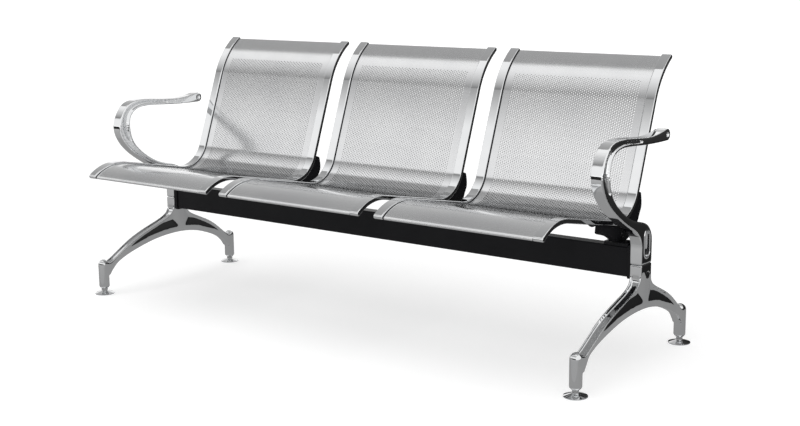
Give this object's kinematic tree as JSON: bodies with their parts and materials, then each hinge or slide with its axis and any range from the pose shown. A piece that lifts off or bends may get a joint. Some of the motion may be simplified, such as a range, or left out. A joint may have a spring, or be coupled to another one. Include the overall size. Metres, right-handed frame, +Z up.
{
  "type": "beam seating",
  "caption": "Public waiting bench: bent perforated metal seats with bright side trims on a black beam, with cast armrests and arched legs on levelling feet.",
  "frame": {"origin": "on the floor, below the middle of the bench's whole length and depth", "axes": "+X along the beam towards the right-hand seat as seen by someone facing the bench from the front of the picture, -Y towards the side people sit down from, +Z up"},
  "size_m": [1.8004, 0.679, 0.7948],
  "materials": {
    "seat_sheet": "satin silver grey over fine perforated steel sheet",
    "chrome": "polished",
    "black_paint": "satin black",
    "black_fasteners": "black",
    "bright_fasteners": "zinc plated",
    "rubber": "matte"
  },
  "bodies": {
    "bench": {"armrest_bolts": "bright_fasteners", "armrest_left": "chrome", "armrest_right": "chrome", "beam_tube": "black_paint", "bracket_base_bolts": "black_fasteners", "bracket_base_nuts": "bright_fasteners", "bracket_web_screws": "black_fasteners", "column_dowels": "bright_fasteners", "end_plate_left": "black_paint", "end_plate_right": "black_paint", "foot_lock_nut_front_left": "bright_fasteners", "foot_lock_nut_front_right": "bright_fasteners", "foot_lock_nut_rear_left": "bright_fasteners", "foot_lock_nut_rear_right": "bright_fasteners", "leg_bolts": "bright_fasteners", "leg_left": "chrome", "leg_right": "chrome", "seat_bracket_1_left": "black_paint", "seat_bracket_1_right": "black_paint", "seat_bracket_2_left": "black_paint", "seat_bracket_2_right": "black_paint", "seat_bracket_3_left": "black_paint", "seat_bracket_3_right": "black_paint", "seat_panel_1": "seat_sheet", "seat_panel_2": "seat_sheet", "seat_panel_3": "seat_sheet", "seat_trim_1_left": "chrome", "seat_trim_1_right": "chrome", "seat_trim_2_left": "chrome", "seat_trim_2_right": "chrome", "seat_trim_3_left": "chrome", "seat_trim_3_right": "chrome", "trim_screws": "black_fasteners"},
    "foot_front_left": {"foot_disc_front_left": "chrome", "foot_pad_front_left": "rubber"},
    "stem_front_left": {"foot_stem_front_left": "bright_fasteners"},
    "foot_front_right": {"foot_disc_front_right": "chrome", "foot_pad_front_right": "rubber"},
    "stem_front_right": {"foot_stem_front_right": "bright_fasteners"},
    "foot_rear_left": {"foot_disc_rear_left": "chrome", "foot_pad_rear_left": "rubber"},
    "stem_rear_left": {"foot_stem_rear_left": "bright_fasteners"},
    "foot_rear_right": {"foot_disc_rear_right": "chrome", "foot_pad_rear_right": "rubber"},
    "stem_rear_right": {"foot_stem_rear_right": "bright_fasteners"}
  },
  "joints": [
    {"name": "level_front_left", "type": "slide", "parent": "bench", "child": "foot_front_left", "axis": [0, 0, -1], "range_m": [0, 0.015]},
    {"name": "turn_front_left", "type": "hinge", "parent": "foot_front_left", "child": "stem_front_left", "pos_m": [-0.8695, -0.2592, 0.03], "axis": [0, 0, -1], "range_deg": [0, 3600]},
    {"name": "level_front_right", "type": "slide", "parent": "bench", "child": "foot_front_right", "axis": [0, 0, -1], "range_m": [0, 0.015]},
    {"name": "turn_front_right", "type": "hinge", "parent": "foot_front_right", "child": "stem_front_right", "pos_m": [0.8695, -0.2592, 0.03], "axis": [0, 0, -1], "range_deg": [0, 3600]},
    {"name": "level_rear_left", "type": "slide", "parent": "bench", "child": "foot_rear_left", "axis": [0, 0, -1], "range_m": [0, 0.015]},
    {"name": "turn_rear_left", "type": "hinge", "parent": "foot_rear_left", "child": "stem_rear_left", "pos_m": [-0.8695, 0.3088, 0.03], "axis": [0, 0, -1], "range_deg": [0, 3600]},
    {"name": "level_rear_right", "type": "slide", "parent": "bench", "child": "foot_rear_right", "axis": [0, 0, -1], "range_m": [0, 0.015]},
    {"name": "turn_rear_right", "type": "hinge", "parent": "foot_rear_right", "child": "stem_rear_right", "pos_m": [0.8695, 0.3088, 0.03], "axis": [0, 0, -1], "range_deg": [0, 3600]}
  ],
  "couplings": [
    {"joint": "turn_front_left", "follows": "level_front_left", "rad_per_m": 4188.8},
    {"joint": "turn_front_right", "follows": "level_front_right", "rad_per_m": 4188.8},
    {"joint": "turn_rear_left", "follows": "level_rear_left", "rad_per_m": 4188.8},
    {"joint": "turn_rear_right", "follows": "level_rear_right", "rad_per_m": 4188.8}
  ]
}
